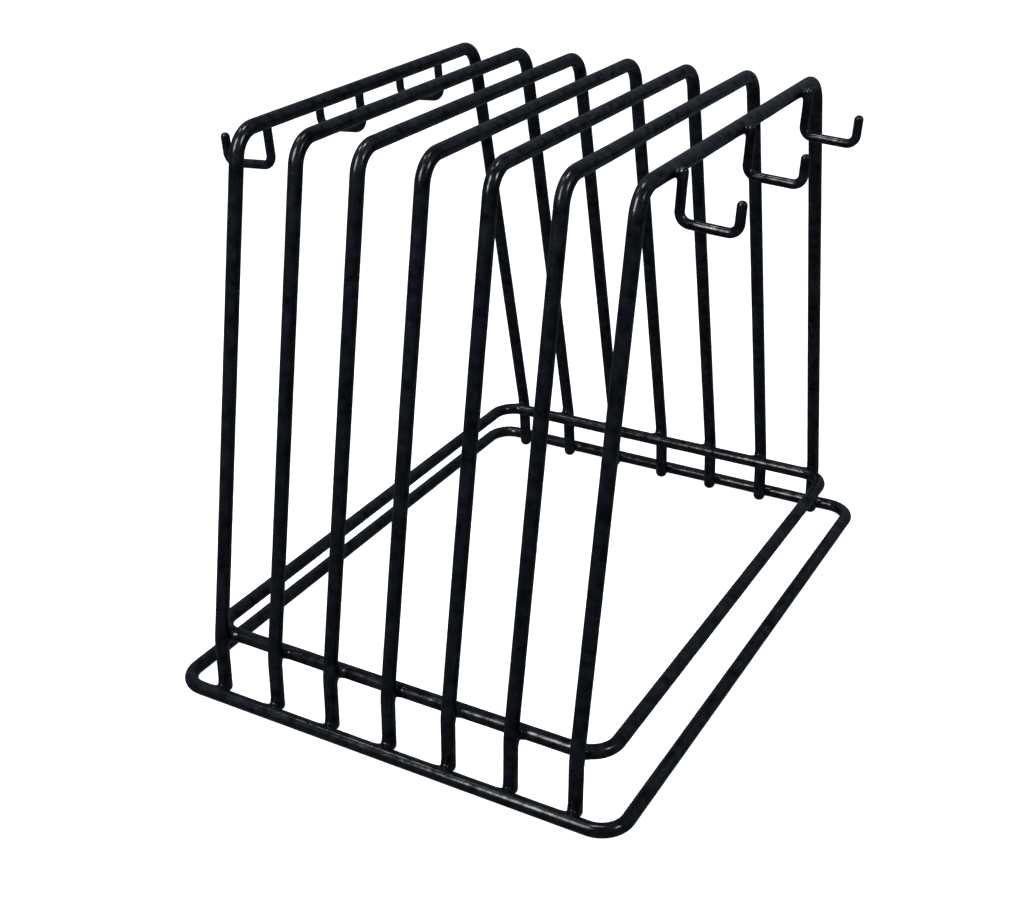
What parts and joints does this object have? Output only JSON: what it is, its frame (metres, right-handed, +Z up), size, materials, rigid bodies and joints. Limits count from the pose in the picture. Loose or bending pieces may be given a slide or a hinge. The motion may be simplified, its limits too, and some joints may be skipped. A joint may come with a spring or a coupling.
{
  "type": "wire plate rack",
  "caption": "Free-standing welded wire rack with upright slots for plates, trays or boards on edge, a raised shelf ring, a base ring and small side hooks.",
  "frame": {"origin": "on the floor, at the middle of the rack's bounding box, which is also the middle of the base ring", "axes": "+X across the slots, towards the right-hand hooks; +Y along the slots, from front to back; +Z up"},
  "size_m": [0.2558, 0.3216, 0.2654],
  "materials": {
    "black_coating": "glossy black dipped coating over steel wire"
  },
  "bodies": {
    "root": {"base_ring": "black_coating", "shelf_ring": "black_coating", "hoop_1": "black_coating", "hoop_2": "black_coating", "hoop_3": "black_coating", "hoop_4": "black_coating", "hoop_5": "black_coating", "hoop_6": "black_coating", "hoop_7": "black_coating", "hook_left_front": "black_coating", "hook_left_middle": "black_coating", "hook_left_back": "black_coating", "hook_right_front": "black_coating", "hook_right_middle": "black_coating", "hook_right_back": "black_coating"}
  },
  "joints": []
}
